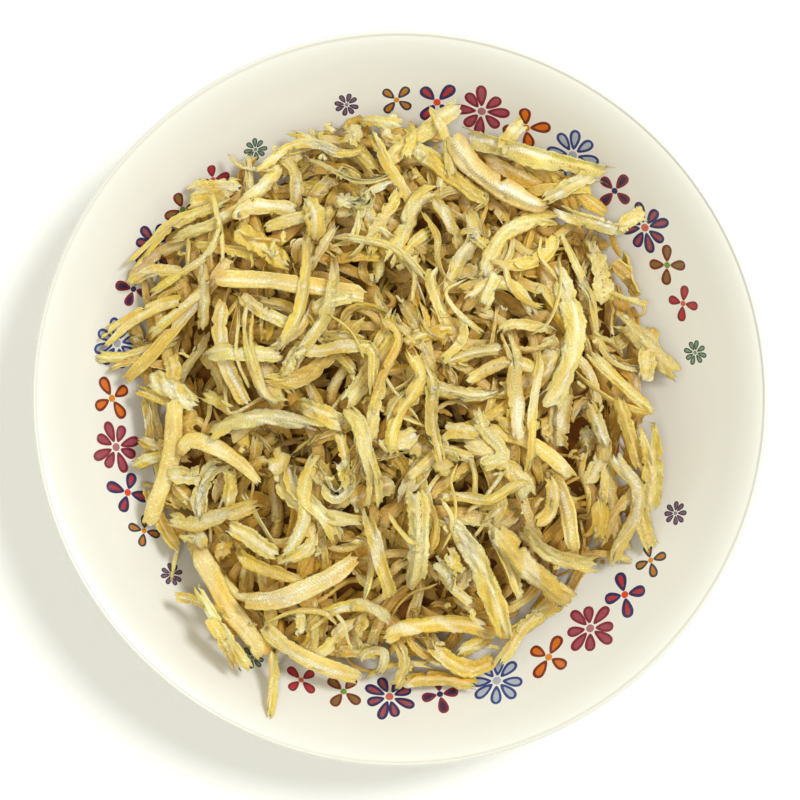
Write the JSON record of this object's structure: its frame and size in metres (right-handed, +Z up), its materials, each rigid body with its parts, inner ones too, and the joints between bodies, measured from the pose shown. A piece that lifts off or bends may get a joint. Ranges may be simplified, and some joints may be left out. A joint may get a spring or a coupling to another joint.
{
  "type": "dish of dried anchovies",
  "caption": "Shallow round porcelain dish with a flowered inner wall, heaped with split dried anchovies; it stands on its foot ring.",
  "frame": {"origin": "middle of the dish's foot ring, on the plane it stands on", "axes": "+Z up through the middle of the dish; +X to the right and +Y away from the viewer in the picture, which looks straight down"},
  "size_m": [0.2, 0.2, 0.0514],
  "materials": {
    "dish": "clear glossy glaze over off-white porcelain",
    "anchovy_heap": "dry, slightly waxy fish flesh, pale yellow with silver skin in places"
  },
  "bodies": {
    "root": {"dish": "dish", "anchovy_heap": "anchovy_heap"}
  },
  "joints": []
}
